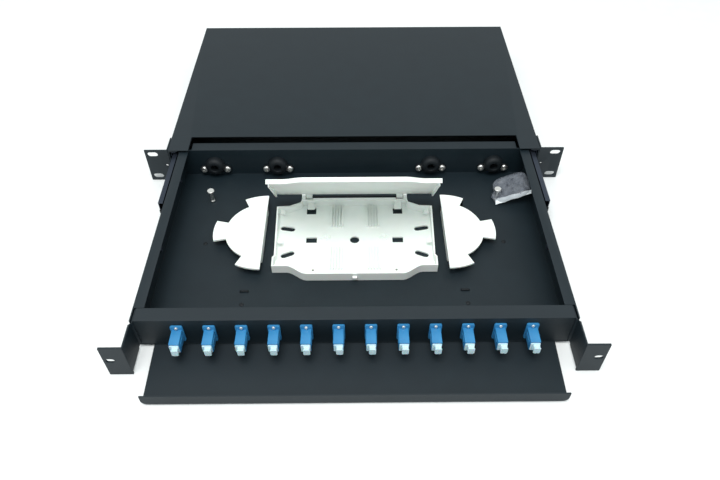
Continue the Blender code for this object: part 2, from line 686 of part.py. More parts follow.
def front_sweep():
    """S-curve from the front ear to the front edge."""
    steps = 7
    start, end = CASSETTE_SWEEP_X
    ear_front = CASSETTE_EAR_Y[1]
    points = []
    for i in range(1, steps):
        t = i / (steps - 1)
        ease = t * t * (3.0 - 2.0 * t)
        points.append((start + (end - start) * t, ear_front + (CASSETTE_FRONT_Y - ear_front) * ease))
    return points


def make_cassette(drawer, white):
    """Splice tray: floor, walls, hinge lugs, splice combs, slots and holes."""
    top = CASSETTE_BOTTOM + CASSETTE_HEIGHT
    floor = CASSETTE_BOTTOM + CASSETTE_FLOOR
    tray = solid("splice_cassette", [prism(cassette_outline(), CASSETTE_BOTTOM, top)], white, drawer)
    inside = prism(cassette_outline(-CASSETTE_WALL), floor, top + 2 * MM)
    combine(tray, [inside], "DIFFERENCE")

    ledge_half, ledge_back, ledge_thick = CASSETTE_LEDGE
    added = [box((-ledge_half, CASSETTE_REAR_Y - CASSETTE_WALL / 2, top - ledge_thick),
                 (ledge_half, ledge_back, top))]
    for side in (-1.0, 1.0):
        near = side * CASSETTE_LUG_X[0]
        far = side * CASSETTE_LUG_X[1]
        lug = [(CASSETTE_REAR_Y - CASSETTE_WALL / 2, CASSETTE_BOTTOM + MM),
               (HINGE_Y + 2.4 * MM, CASSETTE_BOTTOM + MM)]
        lug += arc((HINGE_Y, HINGE_Z), HINGE_KNUCKLE_RADIUS, -30.0, 110.0, 7)
        lug += [(CASSETTE_REAR_Y - CASSETTE_WALL / 2, top - 0.5 * MM)]
        added.append(prism(lug, min(near, far), max(near, far), "X"))
        tongue = side * TONGUE_X
        added.append(box((tongue - TONGUE_WIDTH / 2, TONGUE_FRONT_Y, floor + 4.6 * MM),
                         (tongue + TONGUE_WIDTH / 2, CASSETTE_REAR_Y - CASSETTE_WALL / 2, floor + 5.8 * MM)))
    width, length, height = COMB_RIB
    for comb_x in COMB_X:
        for comb_y in COMB_Y:
            for i in range(COMB_RIBS):
                x = comb_x + COMB_PITCH * (i - (COMB_RIBS - 1) / 2.0)
                added.append(box((x - width / 2, comb_y - length / 2, floor - 0.5 * MM),
                                 (x + width / 2, comb_y + length / 2, floor + height)))
    combine(tray, added, "UNION")
    combine(tray, cassette_cuts(), "DIFFERENCE")


def cassette_cuts():
    """Slots, holes and latch notch of the tray, and the hinge pin's bore."""
    low = CASSETTE_BOTTOM - MM
    high = CASSETTE_BOTTOM + CASSETTE_FLOOR + 0.6 * MM
    cuts = [prism(circle((0.0, -107.0 * MM), 5.1 * MM, 20), low, high)]
    for side in (-1.0, 1.0):
        outlines = [oblong((side * 72.8 * MM, -90.0 * MM), 16.5 * MM, 6.6 * MM, side * 11.0, 5),
                    oblong((side * 70.6 * MM, -127.9 * MM), 15.6 * MM, 6.6 * MM, side * -24.0, 5),
                    rectangle((side * 46.3 * MM, -107.2 * MM), (11.5 * MM, 8.0 * MM)),
                    rectangle((side * TONGUE_X, -62.4 * MM), (10.6 * MM, 10.2 * MM)),
                    circle((side * 43.0 * MM, -149.6 * MM), 1.3 * MM, 10)]
        cuts += [prism(outline, low, high) for outline in outlines]
    bore = circle((HINGE_Y, HINGE_Z), HINGE_HOLE_RADIUS, 16)
    reach = CASSETTE_LUG_X[1] + 2 * MM
    cuts.append(prism(bore, -reach, reach, "X"))
    return cuts


def lid_outline(shrink=0.0, rear=LID_REAR_Y):
    """Lid outline in the closed pose: straight rear edge, sides that taper forward."""
    grow = LID_OVERHANG - shrink
    front = CASSETTE_EAR_Y[1] - grow
    half = [(CASSETTE_HALF_REAR + grow, rear), (LID_HALF_FRONT - shrink, front), (CASSETTE_SWEEP_X[0], front)]
    half += [(x, y - grow) for x, y in front_sweep()]
    return mirrored(half)


def make_lid(hinge, white):
    """Cassette lid in its closed pose, relative to the hinge axis."""
    under = CASSETTE_BOTTOM + CASSETTE_HEIGHT + GAP
    top = under + LID_THICK
    shift = Matrix.Translation((0.0, -HINGE_Y, -HINGE_Z))

    def moved(shape):
        bmesh.ops.transform(shape, matrix=shift, verts=shape.verts)
        return shape

    lid = solid("cassette_lid", [moved(prism(lid_outline(), under - LID_RIM_DROP, top))], white, hinge)
    hollow = prism(lid_outline(LID_RIM, LID_REAR_Y + 5 * MM), under - 2 * LID_RIM_DROP, under)
    combine(lid, [moved(hollow)], "DIFFERENCE")
    room = []
    for side in (-1.0, 1.0):
        near = side * CASSETTE_SWEEP_X[0]
        far = side * (CASSETTE_HALF_REAR + 2 * LID_OVERHANG)
        room.append(moved(box((min(near, far), CASSETTE_EAR_Y[1] - 0.5 * MM, under - 2 * LID_RIM_DROP),
                              (max(near, far), CASSETTE_EAR_Y[0] + 5.5 * MM, under))))
    combine(lid, room, "DIFFERENCE")
    arms = []
    for side in (-1.0, 1.0):
        arm = [(LID_REAR_Y - 3.0 * MM, under + 0.3 * MM)]
        arm += [(HINGE_Y - HINGE_KNUCKLE_RADIUS, under + 0.3 * MM)]
        arm += arc((HINGE_Y, HINGE_Z), HINGE_KNUCKLE_RADIUS, 180.0, 405.0, 10)
        arm += [(HINGE_Y + 0.5 * MM, top - 0.2 * MM), (LID_REAR_Y - 3.0 * MM, top - 0.2 * MM)]
        near = side * LID_KNUCKLE_X[0]
        far = side * LID_KNUCKLE_X[1]
        arms.append(moved(prism(arm, min(near, far), max(near, far), "X")))
    combine(lid, arms, "UNION")
    bore = circle((HINGE_Y, HINGE_Z), HINGE_HOLE_RADIUS, 16)
    reach = CASSETTE_LUG_X[1]
    combine(lid, [moved(prism(bore, -reach, reach, "X"))], "DIFFERENCE")


def make_hinge_pin(drawer, zinc):
    """Steel rod that the lid turns on."""
    rod = prism(circle((HINGE_Y, HINGE_Z), HINGE_PIN_RADIUS, 12), -CASSETTE_LUG_X[1] + 0.5 * MM,
                CASSETTE_LUG_X[1] - 0.5 * MM, "X")
    solid("cassette_hinge_pin", [rod], zinc, drawer, smooth=True)


# --- half-moon fibre guides --------------------------------------------------

def guide_outline(side):
    """Half disc with three finger tabs around its arc, facing outward."""
    points = [(0.0, -GUIDE_TAB_RADIUS)]
    previous = None
    for start, end in GUIDE_TAB_ANGLES:
        if previous is not None:
            points += arc((0.0, 0.0), GUIDE_BODY_RADIUS, previous + 1.0, start - 1.0, 9)
        points += arc((0.0, 0.0), GUIDE_TAB_RADIUS, start, end, 6)[(0 if previous is not None else 1):]
        previous = end
    return [(side * (GUIDE_X + x), GUIDE_Y + y) for x, y in points]


def make_guides(drawer, white):
    """Two raised D-shaped guides, open underneath."""
    bottom = DRAWER_BOTTOM + SHEET + GAP
    under = GUIDE_TOP - GUIDE_PLATE
    for side, word in ((-1.0, "left"), (1.0, "right")):
        plate = prism(guide_outline(side), under, GUIDE_TOP)
        guide = solid("fiber_guide_" + word, [plate], white, drawer, smooth=True)
        drum = arc((side * (GUIDE_X + 0.01 * MM), GUIDE_Y), GUIDE_WALL_RADIUS, -90.0, 90.0, 17)
        if side < 0:
            drum = arc((side * (GUIDE_X + 0.01 * MM), GUIDE_Y), GUIDE_WALL_RADIUS, 90.0, 270.0, 17)
        combine(guide, [prism(drum, bottom, under + 0.8 * MM)], "UNION")
        hollow = [prism(inset(drum, GUIDE_WALL), bottom - MM, under)]
        combine(guide, hollow, "DIFFERENCE")
        holes = []
        for offset in GUIDE_SCREW_Y:
            center = (side * (GUIDE_X + GUIDE_SCREW_DX), GUIDE_Y + offset)
            holes.append(prism(circle(center, 1.7 * MM, 12), under - MM, GUIDE_TOP + MM))
        combine(guide, holes, "DIFFERENCE")


def make_bag(drawer, film):
    """Bag of spares, propped on the side wall and pushed in round the anchor post."""
    bag = solid("accessory_bag", [pillow(BAG_CENTER, BAG_HALF_SIZE, BAG_TILT)], film, drawer, smooth=True)
    hollow = prism(circle((POST_X, POST_Y), BAG_POST_CLEARANCE, 16), DRAWER_BOTTOM, DRAWER_TOP)
    combine(bag, [hollow], "DIFFERENCE")


def main():
    clear_scene()
    steel = material("black_powder_coat", (0.035, 0.038, 0.045), 0.55)
    zinc = material("slide_steel", (0.10, 0.12, 0.16), 0.4, 0.7)
    nickel = material("bright_nickel", (0.78, 0.76, 0.70), 0.3, 1.0)
    rubber = material("black_rubber", (0.02, 0.02, 0.022), 0.7)
    blue = material("adapter_blue", (0.05, 0.22, 0.45), 0.35)
    white = material("white_plastic", (0.86, 0.88, 0.85), 0.4)
    film = material("bag_film", (0.35, 0.36, 0.38), 0.25)

    root = empty("assembly", (0.0, EAR_PLANE_Y, 0.0))
    middle = empty("intermediate_stage", (0.0, 0.0, 0.0), root)
    drawer = empty("drawer_stage", (0.0, 0.0, 0.0), middle)
    hinge = empty("lid_hinge", (0.0, HINGE_Y, HINGE_Z), drawer)
    hinge.rotation_euler = (-LID_OPEN_ANGLE, 0.0, 0.0)

    make_chassis(root, steel)
    make_drawer_tray(drawer, steel)
    make_front_panel(drawer, steel)
    make_cable_shelf(drawer, steel)
    for side, word in ((-1.0, "left"), (1.0, "right")):
        make_rack_ear(side, "rack_ear_" + word, root, steel)
        make_handle_bracket(side, "handle_bracket_" + word, drawer, steel)
        make_slides(side, word, root, middle, drawer, zinc, rubber)
    make_adapters(drawer, blue, white)
    make_glands(drawer, rubber)
    make_posts(drawer, nickel)
    make_cassette(drawer, white)
    make_lid(hinge, white)
    make_hinge_pin(drawer, zinc)
    make_guides(drawer, white)
    make_bag(drawer, film)


main()
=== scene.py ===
"""Looks of the sliding fibre termination box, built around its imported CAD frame.

Units are metres.  +X is right, +Y points into the rack, +Z is up.  Places come
from the CAD nodes' boxes, so every piece follows the frame.
"""
import json
import math

import bmesh
import bpy
from mathutils import Matrix, Vector, noise


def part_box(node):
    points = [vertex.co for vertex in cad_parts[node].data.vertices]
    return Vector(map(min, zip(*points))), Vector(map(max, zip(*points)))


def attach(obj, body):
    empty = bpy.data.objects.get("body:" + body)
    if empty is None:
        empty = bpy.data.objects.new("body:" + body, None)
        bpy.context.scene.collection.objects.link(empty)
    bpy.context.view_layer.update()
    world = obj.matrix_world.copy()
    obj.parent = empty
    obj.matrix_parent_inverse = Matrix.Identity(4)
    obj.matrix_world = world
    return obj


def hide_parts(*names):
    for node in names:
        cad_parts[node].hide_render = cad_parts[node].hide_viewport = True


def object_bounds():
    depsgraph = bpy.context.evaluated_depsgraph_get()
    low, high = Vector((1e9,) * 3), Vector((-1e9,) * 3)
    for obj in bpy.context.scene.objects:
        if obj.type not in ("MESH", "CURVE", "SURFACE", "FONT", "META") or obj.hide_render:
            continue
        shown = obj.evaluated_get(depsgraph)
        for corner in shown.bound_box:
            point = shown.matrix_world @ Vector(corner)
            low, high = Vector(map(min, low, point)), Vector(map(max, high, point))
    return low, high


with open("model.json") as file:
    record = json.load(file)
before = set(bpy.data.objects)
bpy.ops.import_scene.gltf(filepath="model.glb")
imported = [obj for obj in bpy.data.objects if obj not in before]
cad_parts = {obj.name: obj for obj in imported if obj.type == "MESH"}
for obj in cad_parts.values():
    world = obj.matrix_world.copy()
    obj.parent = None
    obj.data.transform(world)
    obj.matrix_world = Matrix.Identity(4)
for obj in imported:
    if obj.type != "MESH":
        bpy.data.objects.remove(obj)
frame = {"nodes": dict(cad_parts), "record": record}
cad_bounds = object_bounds()

MM = 0.001
SIDES = ((-1.0, "left"), (1.0, "right"))

# Sheet metal.  GAP is the space the CAD leaves between touching parts.
SHEET = 1.2 * MM
GAP = 0.3 * MM
EAR_WING = 1.6 * MM
EDGE_ROUND = 0.4 * MM

# Fasteners: radius and height of the heads.
PAN_HEAD = (4.2 * MM, 2.8 * MM)
SMALL_HEAD = (1.7 * MM, 1.0 * MM)
LOW_HEAD = (3.2 * MM, 1.3 * MM)

# Screw places: rises from a plate's middle, depths from the ears' plane.
EAR_SCREW_RISES = (-10.0 * MM, 10.0 * MM)
EAR_SCREW_DEPTH = 15.0 * MM
CABINET_SCREW_DEPTHS = (60.0 * MM, 150.0 * MM, 240.0 * MM)
BRACKET_SCREW_RISES = (-8.0 * MM, 8.0 * MM)
BRACKET_SCREW_INSET = 12.0 * MM
DRAWER_SCREW_DEPTHS = (-128.0 * MM, -20.0 * MM)
DRAWER_SCREW_Z = 16.0 * MM

# Adapters and caps, along Y from the panel's front face.
FLANGE_FRONT = -2.1 * MM
FLANGE_BACK = -0.3 * MM
ADAPTER_NOSE = -17.6 * MM
ADAPTER_TAIL = 13.2 * MM
PORT_DEPTH = 11.0 * MM
BODY_WIDTH = 9.3 * MM
BODY_HEIGHT = 12.8 * MM
ADAPTER_SCREW_Z = 8.7 * MM

# Glands.
GLAND_DOME = 10.8 * MM
GLAND_EAR_X = 13.6 * MM
GLAND_EAR_DROP = 5.6 * MM
GLAND_EAR_RADIUS = 4.6 * MM
GLAND_FLANGE = 2.2 * MM
GLAND_BORE = 4.5 * MM
GLAND_BARREL = 8.0 * MM
GLAND_NOSE = 6.4 * MM
DOME_LENGTH = 6.5 * MM

# Cassette, from its underside.
CASSETTE_FLOOR = 1.8 * MM
CASSETTE_RIM = 10.5 * MM
CLIP_DEPTHS = (-71.0 * MM, -115.0 * MM, -146.0 * MM)

EAR_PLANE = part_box("rack_ear_left")[0].y


# --- shapes ------------------------------------------------------------------

def block(low, high):
    """Closed box between two corners."""
    shape = bmesh.new()
    bmesh.ops.create_cube(shape, size=1.0)
    bmesh.ops.scale(shape, vec=Vector(high) - Vector(low), verts=shape.verts)
    bmesh.ops.translate(shape, vec=(Vector(high) + Vector(low)) / 2.0, verts=shape.verts)
    return shape


def lofted(loops, ring=False):
    """Solid skinned through loops of points; capped, or closed on itself as a ring."""
    shape = bmesh.new()
    rows = [[shape.verts.new(point) for point in loop] for loop in loops]
    pairs = list(zip(rows, rows[1:]))
    if ring:
        pairs.append((rows[-1], rows[0]))
    else:
        shape.faces.new(rows[0])
        shape.faces.new(rows[-1])
    count = len(rows[0])
    for first, second in pairs:
        for i in range(count):
            j = (i + 1) % count
            shape.faces.new((first[i], first[j], second[j], second[i]))
    return shape


def prism(outline, low, high, axis="Z"):
    """Solid of a 2-D outline, extruded along an axis."""
    def point(a, b, c):
        return {"Z": (a, b, c), "Y": (a, c, b), "X": (c, a, b)}[axis]

    return lofted([[point(a, b, low) for a, b in outline], [point(a, b, high) for a, b in outline]])


def arc(center, radius, start, end, steps):
    """Points on an arc from start to end, in degrees."""
    points = []
    for i in range(steps):
        angle = math.radians(start + (end - start) * i / (steps - 1))
        points.append((center[0] + radius * math.cos(angle), center[1] + radius * math.sin(angle)))
    return points


def circle(center, radius, steps=48):
    return arc(center, radius, 0.0, 360.0 * (steps - 1) / steps, steps)


def oblong(center, length, width, steps=13):
    """Slot outline with round ends along its first axis."""
    reach = (length - width) / 2.0
    right = arc((center[0] + reach, center[1]), width / 2.0, -90.0, 90.0, steps)
    left = arc((center[0] - reach, center[1]), width / 2.0, 90.0, 270.0, steps)
    return right + left


def rounded(width, height, radius, steps=5, middle=(0.0, 0.0)):
    """Rectangle outline with round corners."""
    points = []
    corners = ((1, -1, -90.0), (1, 1, 0.0), (-1, 1, 90.0), (-1, -1, 180.0))
    for a, b, start in corners:
        center = (middle[0] + a * (width / 2.0 - radius), middle[1] + b * (height / 2.0 - radius))
        points += arc(center, radius, start, start + 90.0, steps)
    return points


def loft_y(rings):
    """Rounded rectangles along Y: rings of (y, width, height, radius, x shift)."""
    loops = []
    for y, width, height, radius, shift in rings:
        loops.append([(x, y, z) for x, z in rounded(width, height, radius, middle=(shift, 0.0))])
    return lofted(loops)


def turned(profile, steps=48, ring=False):
    """Solid turned about Z from (radius, height) points."""
    loops = [[(x, y, height) for x, y in circle((0.0, 0.0), radius, steps)] for radius, height in profile]
    return lofted(loops, ring)


def moved(shape, matrix):
    bmesh.ops.transform(shape, matrix=matrix, verts=shape.verts)
    return shape


def standing(point, normal):
    """Matrix that stands local +Z on a point, along a normal."""
    turn = Vector(normal).to_track_quat("Z", "Y").to_matrix().to_4x4()
    return Matrix.Translation(point) @ turn


def cross(arm, half):
    """Outline of a cross recess, 24 points that match a circle from -15 degrees."""
    corners = []
    for quarter in range(4):
        turn = Matrix.Rotation(math.radians(90.0 * quarter), 2)
        corners += [turn @ Vector(p) for p in ((arm, -half), (arm, half), (half, half))]
    points = []
    for here, after in zip(corners, corners[1:] + corners[:1]):
        points += [tuple(here), tuple((here + after) / 2.0)]
    return points


def screw(head, point, normal, turn=0.0):
    """Domed screw head with a cross recess, standing on a surface."""
    radius, height = head
    loops = []
    for share, rise in ((0.98, 0.0), (1.0, 0.12), (1.0, 0.35), (0.93, 0.62), (0.78, 0.84), (0.62, 0.95)):
        loops.append([(x, y, rise * height) for x, y in arc((0.0, 0.0), share * radius, -15.0, 330.0, 24)])
    for share, rise in ((0.52, 0.97), (0.40, 0.30)):
        outline = cross(share * radius, 0.30 * share * radius)
        loops.append([(x, y, rise * height) for x, y in outline])
    shape = lofted(loops)
    return moved(shape, standing(point, normal) @ Matrix.Rotation(math.radians(turn), 4, "Z"))


# --- pieces ------------------------------------------------------------------

def joined(name, shapes):
    """One mesh out of several closed shapes, faces outward."""
    mesh = bpy.data.meshes.new(name)
    whole = bmesh.new()
    for shape in shapes:
        part = bpy.data.meshes.new("shape")
        bmesh.ops.recalc_face_normals(shape, faces=shape.faces)
        shape.to_mesh(part)
        shape.free()
        whole.from_mesh(part)
        bpy.data.meshes.remove(part)
    whole.to_mesh(mesh)
    whole.free()
    return mesh


def dress(item, finish, bevel=0.0, segments=2, sharp=35.0):
    """Material, smooth shading and rounded edges."""
    mesh = item.data
    mesh.materials.clear()
    mesh.materials.append(finish)
    mesh.shade_smooth()
    mesh.set_sharp_from_angle(angle=math.radians(sharp))
    if bevel > 0.0:
        edge = item.modifiers.new("edges", "BEVEL")
        edge.width = bevel
        edge.segments = segments
        edge.limit_method = "ANGLE"
        edge.angle_limit = math.radians(30.0)
        mesh.set_sharp_from_angle(angle=math.radians(180.0))
        item.modifiers.new("normals", "WEIGHTED_NORMAL").keep_sharp = True
    return item


def piece(name, shapes, slot, body, replaces=(), bevel=0.0, segments=2, sharp=35.0, look=None):
    """A new piece of the object, from closed shapes in the row frame."""
    item = bpy.data.objects.new(name, joined(name, shapes))
    bpy.context.scene.collection.objects.link(item)
    dress(item, finishes[look or slot], bevel, segments, sharp)
    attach(item, body)
    if replaces:
        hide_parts(*replaces)
    return item


def body_of_node(node):
    """The moving body that a CAD node belongs to."""
    return next(body for body, names in frame["record"]["behaviour"]["bodies"].items() if node in names)


def slot_of_node(node):
    """The material slot that the record gives a CAD node."""
    return next(entry["material_slot"] for entry in frame["record"]["subparts"] if entry["node"] == node)


def own_shape(node):
    """A CAD node's shape with its flat faces whole again."""
    shape = bmesh.new()
    shape.from_mesh(frame["nodes"][node].data)
    bmesh.ops.remove_doubles(shape, verts=shape.verts, dist=1e-6)
    bmesh.ops.dissolve_limit(shape, angle_limit=math.radians(0.5), verts=shape.verts, edges=shape.edges)
    return shape


def refined(node, bevel=EDGE_ROUND, segments=2, extra=()):
    """The CAD node's shape with rounded edges and extra shapes, in its place."""
    return piece(node + "_skin", [own_shape(node), *extra], slot_of_node(node), body_of_node(node),
                 (node,), bevel, segments)


# --- materials ---------------------------------------------------------------

def finish(name, base, accent, roughness, spread=0.06, mottle=45.0, grain=1500.0, depth=0.02 * MM,
           stretch=(1.0, 1.0, 1.0), edge_wear_and_highlight=None, **sockets):
    """Principled surface with mottled colour, uneven gloss and a fine relief."""
    mat = bpy.data.materials.new(name)
    mat.use_nodes = True
    nodes = mat.node_tree.nodes
    link = mat.node_tree.links.new
    shader = nodes["Principled BSDF"]
    for socket, value in sockets.items():
        shader.inputs[socket.replace("_", " ")].default_value = value
    place = nodes.new("ShaderNodeTexCoord")
    scale = nodes.new("ShaderNodeMapping")
    scale.inputs["Scale"].default_value = stretch
    link(place.outputs["Object"], scale.inputs["Vector"])

    patches = nodes.new("ShaderNodeTexNoise")
    patches.inputs["Scale"].default_value = mottle
    patches.inputs["Detail"].default_value = 4.0
    link(scale.outputs["Vector"], patches.inputs["Vector"])
    tint = nodes.new("ShaderNodeValToRGB")
    tint.color_ramp.elements[0].position = 0.35
    tint.color_ramp.elements[1].position = 0.65
    tint.color_ramp.elements[0].color = (*base, 1.0)
    tint.color_ramp.elements[1].color = (*accent, 1.0)
    link(patches.outputs["Fac"], tint.inputs["Fac"])
    color = tint.outputs["Color"]

    # Convex edges turn lighter by pointiness: partly rubbed edges, partly a painted edge highlight.
    if edge_wear_and_highlight is not None:
        shape = nodes.new("ShaderNodeNewGeometry")
        edges = nodes.new("ShaderNodeMapRange")
        edges.inputs["From Min"].default_value = 0.52
        edges.inputs["From Max"].default_value = 0.62
        edges.inputs["To Max"].default_value = 0.6
        link(shape.outputs["Pointiness"], edges.inputs["Value"])
        blend = nodes.new("ShaderNodeMix")
        blend.data_type = "RGBA"
        blend.inputs["B"].default_value = (*edge_wear_and_highlight, 1.0)
        link(edges.outputs["Result"], blend.inputs["Factor"])
        link(color, blend.inputs["A"])
        color = blend.outputs["Result"]
    link(color, shader.inputs["Base Color"])

    fine = nodes.new("ShaderNodeTexNoise")
    fine.inputs["Scale"].default_value = grain
    fine.inputs["Detail"].default_value = 2.0
    link(scale.outputs["Vector"], fine.inputs["Vector"])
    gloss = nodes.new("ShaderNodeMapRange")
    gloss.inputs["To Min"].default_value = roughness - spread
    gloss.inputs["To Max"].default_value = roughness + spread
    link(fine.outputs["Fac"], gloss.inputs["Value"])
    link(gloss.outputs["Result"], shader.inputs["Roughness"])
    relief = nodes.new("ShaderNodeBump")
    relief.inputs["Strength"].default_value = 1.0
    relief.inputs["Distance"].default_value = depth
    link(fine.outputs["Fac"], relief.inputs["Height"])
    link(relief.outputs["Normal"], shader.inputs["Normal"])
    return mat


finishes = {
    # The coat's lighter convex edges are partly rubbed edges and partly a painted edge highlight.
    "black_powder_coat": finish("powder_coat", (0.0015, 0.0085, 0.0135), (0.0025, 0.0105, 0.016), 0.58,
                                edge_wear_and_highlight=(0.018, 0.025, 0.031), Specular_IOR_Level=0.42),
    "slide_steel": finish("slide_zinc", (0.035, 0.045, 0.065), (0.05, 0.062, 0.085), 0.42, grain=900.0,
                          stretch=(1.0, 0.04, 1.0), depth=0.01 * MM, Metallic=0.7),
    "bright_nickel": finish("nickel", (0.86, 0.86, 0.83), (0.78, 0.78, 0.76), 0.36, grain=2500.0,
                            depth=0.004 * MM, Metallic=1.0),
    "black_rubber": finish("rubber", (0.004, 0.007, 0.009), (0.007, 0.010, 0.013), 0.6, grain=2200.0,
                           Specular_IOR_Level=0.3),
    "adapter_blue": finish("blue_plastic", (0.026, 0.19, 0.42), (0.04, 0.24, 0.49), 0.32, grain=1800.0,
                           depth=0.008 * MM, Subsurface_Weight=0.05, Subsurface_Scale=0.001),
    # The dust caps are white; this light blue-grey base holds painted blue spill from the adapters and
    # painted shade.
    "cap_white": finish("cap_plastic", (0.50, 0.70, 0.78), (0.56, 0.75, 0.82), 0.35, grain=1800.0,
                        depth=0.006 * MM, Subsurface_Weight=0.15, Subsurface_Scale=0.002),
    "white_plastic": finish("white_abs", (0.86, 0.91, 0.87), (0.89, 0.93, 0.90), 0.38, grain=1600.0,
                            depth=0.008 * MM, Subsurface_Weight=0.08, Subsurface_Scale=0.002),
    "bag_film": finish("bag_film", (0.17, 0.19, 0.23), (0.34, 0.37, 0.42), 0.14, mottle=180.0,
                       grain=260.0, depth=0.6 * MM, Alpha=0.38),
    "bag_seal": finish("bag_seal", (0.72, 0.80, 0.84), (0.84, 0.90, 0.93), 0.25, mottle=300.0,
                       grain=700.0, depth=0.15 * MM, stretch=(1.0, 6.0, 1.0)),
}


# --- camera, floor and light -------------------------------------------------

def make_camera():
    """Camera above and before the drawer, looking down and back."""
    data = bpy.data.cameras.new("camera")
    data.sensor_width = 36.0
    data.lens = 31.526
    camera = bpy.data.objects.new("camera", data)
    camera.location = (0.00238, -0.56498, 0.49843)
    camera.rotation_euler = [math.radians(angle) for angle in (43.372, 0.067, -0.484)]
    bpy.context.scene.collection.objects.link(camera)
    bpy.context.scene.camera = camera


def make_floor():
    """Wide pale floor just below the box."""
    half = 6.0
    mesh = bpy.data.meshes.new("floor")
    corners = [(-half, -half, 0.0), (half, -half, 0.0), (half, half, 0.0), (-half, half, 0.0)]
    mesh.from_pydata(corners, [], [(0, 1, 2, 3)])
    floor = bpy.data.objects.new("floor", mesh)
    floor.location.z = cad_bounds[0].z - 0.3 * MM
    bpy.context.scene.collection.objects.link(floor)
    paper = finish("floor_paper", (0.86, 0.88, 0.88), (0.88, 0.90, 0.90), 0.8, grain=600.0)
    mesh.materials.append(paper)


def make_lamp(name, location, target, size, power, color):
    """Rectangular area lamp turned to a target."""
    data = bpy.data.lights.new(name, "AREA")
    data.shape = "RECTANGLE"
    data.size, data.size_y = size
    data.energy = power
    data.color = color
    lamp = bpy.data.objects.new(name, data)
    lamp.location = location
    lamp.rotation_euler = (Vector(target) - Vector(location)).to_track_quat("-Z", "Y").to_euler()
    bpy.context.scene.collection.objects.link(lamp)


def make_light():
    """Even pale surroundings and one soft key lamp overhead."""
    world = bpy.data.worlds.new("studio")
    bpy.context.scene.world = world
    world.use_nodes = True
    sky = world.node_tree.nodes["Background"]
    sky.inputs["Color"].default_value = (0.95, 1.0, 1.0, 1.0)
    sky.inputs["Strength"].default_value = 0.85
    make_lamp("key", (-0.1, -0.55, 1.5), (0.0, -0.05, 0.0), (0.8, 0.7), 17.0, (1.0, 1.0, 0.99))
    bpy.context.scene.view_settings.view_transform = "Standard"


# --- sheet metal -------------------------------------------------------------

def make_sheet_metal():
    """Folded sheet, slides and bumpers with their edges rounded."""
    for node in ("chassis_base", "top_cover", "rack_ear_left", "rack_ear_right", "drawer_tray", "front_panel",
                 "cable_shelf", "handle_bracket_left", "handle_bracket_right"):
        refined(node)
    for _, word in SIDES:
        for member in ("cabinet", "intermediate", "drawer"):
            refined(member + "_slide_" + word, 0.45 * MM)
        refined("slide_bumper_" + word, 0.7 * MM, 3)


def make_screws():
    """Screws that hold the brackets, the rack ears and the slides."""
    chassis = []
    drawer = []
    for side, word in SIDES:
        low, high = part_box("rack_ear_" + word)
        middle = (low.z + high.z) / 2.0
        outer = side * (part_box("chassis_base")[1].x + GAP + EAR_WING)
        for rise in EAR_SCREW_RISES:
            seat = (outer, EAR_PLANE + EAR_SCREW_DEPTH, middle + rise)
            chassis.append(screw(LOW_HEAD, seat, (side, 0, 0), 20 * side))
        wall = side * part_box("chassis_base")[1].x
        for depth in CABINET_SCREW_DEPTHS:
            seat = (wall, EAR_PLANE + depth, middle)
            chassis.append(screw(LOW_HEAD, seat, (side, 0, 0), 35.0 + depth * 900))
        low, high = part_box("handle_bracket_" + word)
        inside = side * (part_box("drawer_tray")[1].x - SHEET)
        wing = inside - side * 2.0 * MM
        for rise in BRACKET_SCREW_RISES:
            seat = (wing, high.y - BRACKET_SCREW_INSET, middle + rise)
            drawer.append(screw(LOW_HEAD, seat, (-side, 0, 0), 30 * side))
        for depth in DRAWER_SCREW_DEPTHS:
            seat = (inside, EAR_PLANE + depth, DRAWER_SCREW_Z)
            drawer.append(screw(LOW_HEAD, seat, (-side, 0, 0), 12.0))
    piece("chassis_screws", chassis, "slide_steel", "chassis")
    piece("drawer_screws", drawer, "slide_steel", "drawer")


# --- adapters ----------------------------------------------------------------

def adapter_shapes():
    """Simplex adapter about the middle of its panel opening."""
    port = (7.8 * MM, 9.4 * MM, 0.5 * MM, 0.0)
    body = (BODY_WIDTH, BODY_HEIGHT, 0.7 * MM, 0.0)
    trimmed = (BODY_WIDTH - 0.7 * MM, BODY_HEIGHT - 0.7 * MM, 0.6 * MM, 0.0)
    plate = (11.2 * MM, 22.0 * MM, 1.6 * MM, 0.0)
    plate_edge = (10.8 * MM, 21.6 * MM, 1.5 * MM, 0.0)
    seam = (10.9 * MM, 21.7 * MM, 1.5 * MM, 0.0)
    middle = (FLANGE_FRONT + FLANGE_BACK) / 2.0
    rings = [(ADAPTER_NOSE + PORT_DEPTH, *port), (ADAPTER_NOSE, *port), (ADAPTER_NOSE, *trimmed),
             (ADAPTER_NOSE + 0.4 * MM, *body), (FLANGE_FRONT, *body), (FLANGE_FRONT, *plate_edge),
             (FLANGE_FRONT + 0.2 * MM, *plate), (middle - 0.1 * MM, *plate), (middle, *seam),
             (middle + 0.1 * MM, *plate), (FLANGE_BACK, *plate), (FLANGE_BACK, *body),
             (ADAPTER_TAIL - 0.4 * MM, *body), (ADAPTER_TAIL, *trimmed), (ADAPTER_TAIL, *port),
             (ADAPTER_TAIL - PORT_DEPTH, *port)]
    shapes = [loft_y(rings)]
    sleeve = [(2.3 * MM, 0.0), (2.3 * MM, 2.6 * MM), (1.3 * MM, 2.6 * MM), (1.3 * MM, 0.0)]
    front_seat = standing((0, ADAPTER_NOSE + PORT_DEPTH, 0), (0, -1, 0))
    shapes.append(moved(turned(sleeve, 24, True), front_seat))
    long_sleeve = [(radius, 3.4 * rise) for radius, rise in sleeve]
    rear_seat = standing((0, ADAPTER_TAIL - PORT_DEPTH, 0), (0, 1, 0))
    shapes.append(moved(turned(long_sleeve, 24, True), rear_seat))
    for side in (-1.0, 1.0):
        rib = side * (BODY_WIDTH / 2.0 + 0.15 * MM)
        shapes.append(block((rib - 0.25 * MM, ADAPTER_NOSE + 3.0 * MM, -2.2 * MM),
                            (rib + 0.25 * MM, FLANGE_FRONT - 2.5 * MM, 2.2 * MM)))
    return shapes


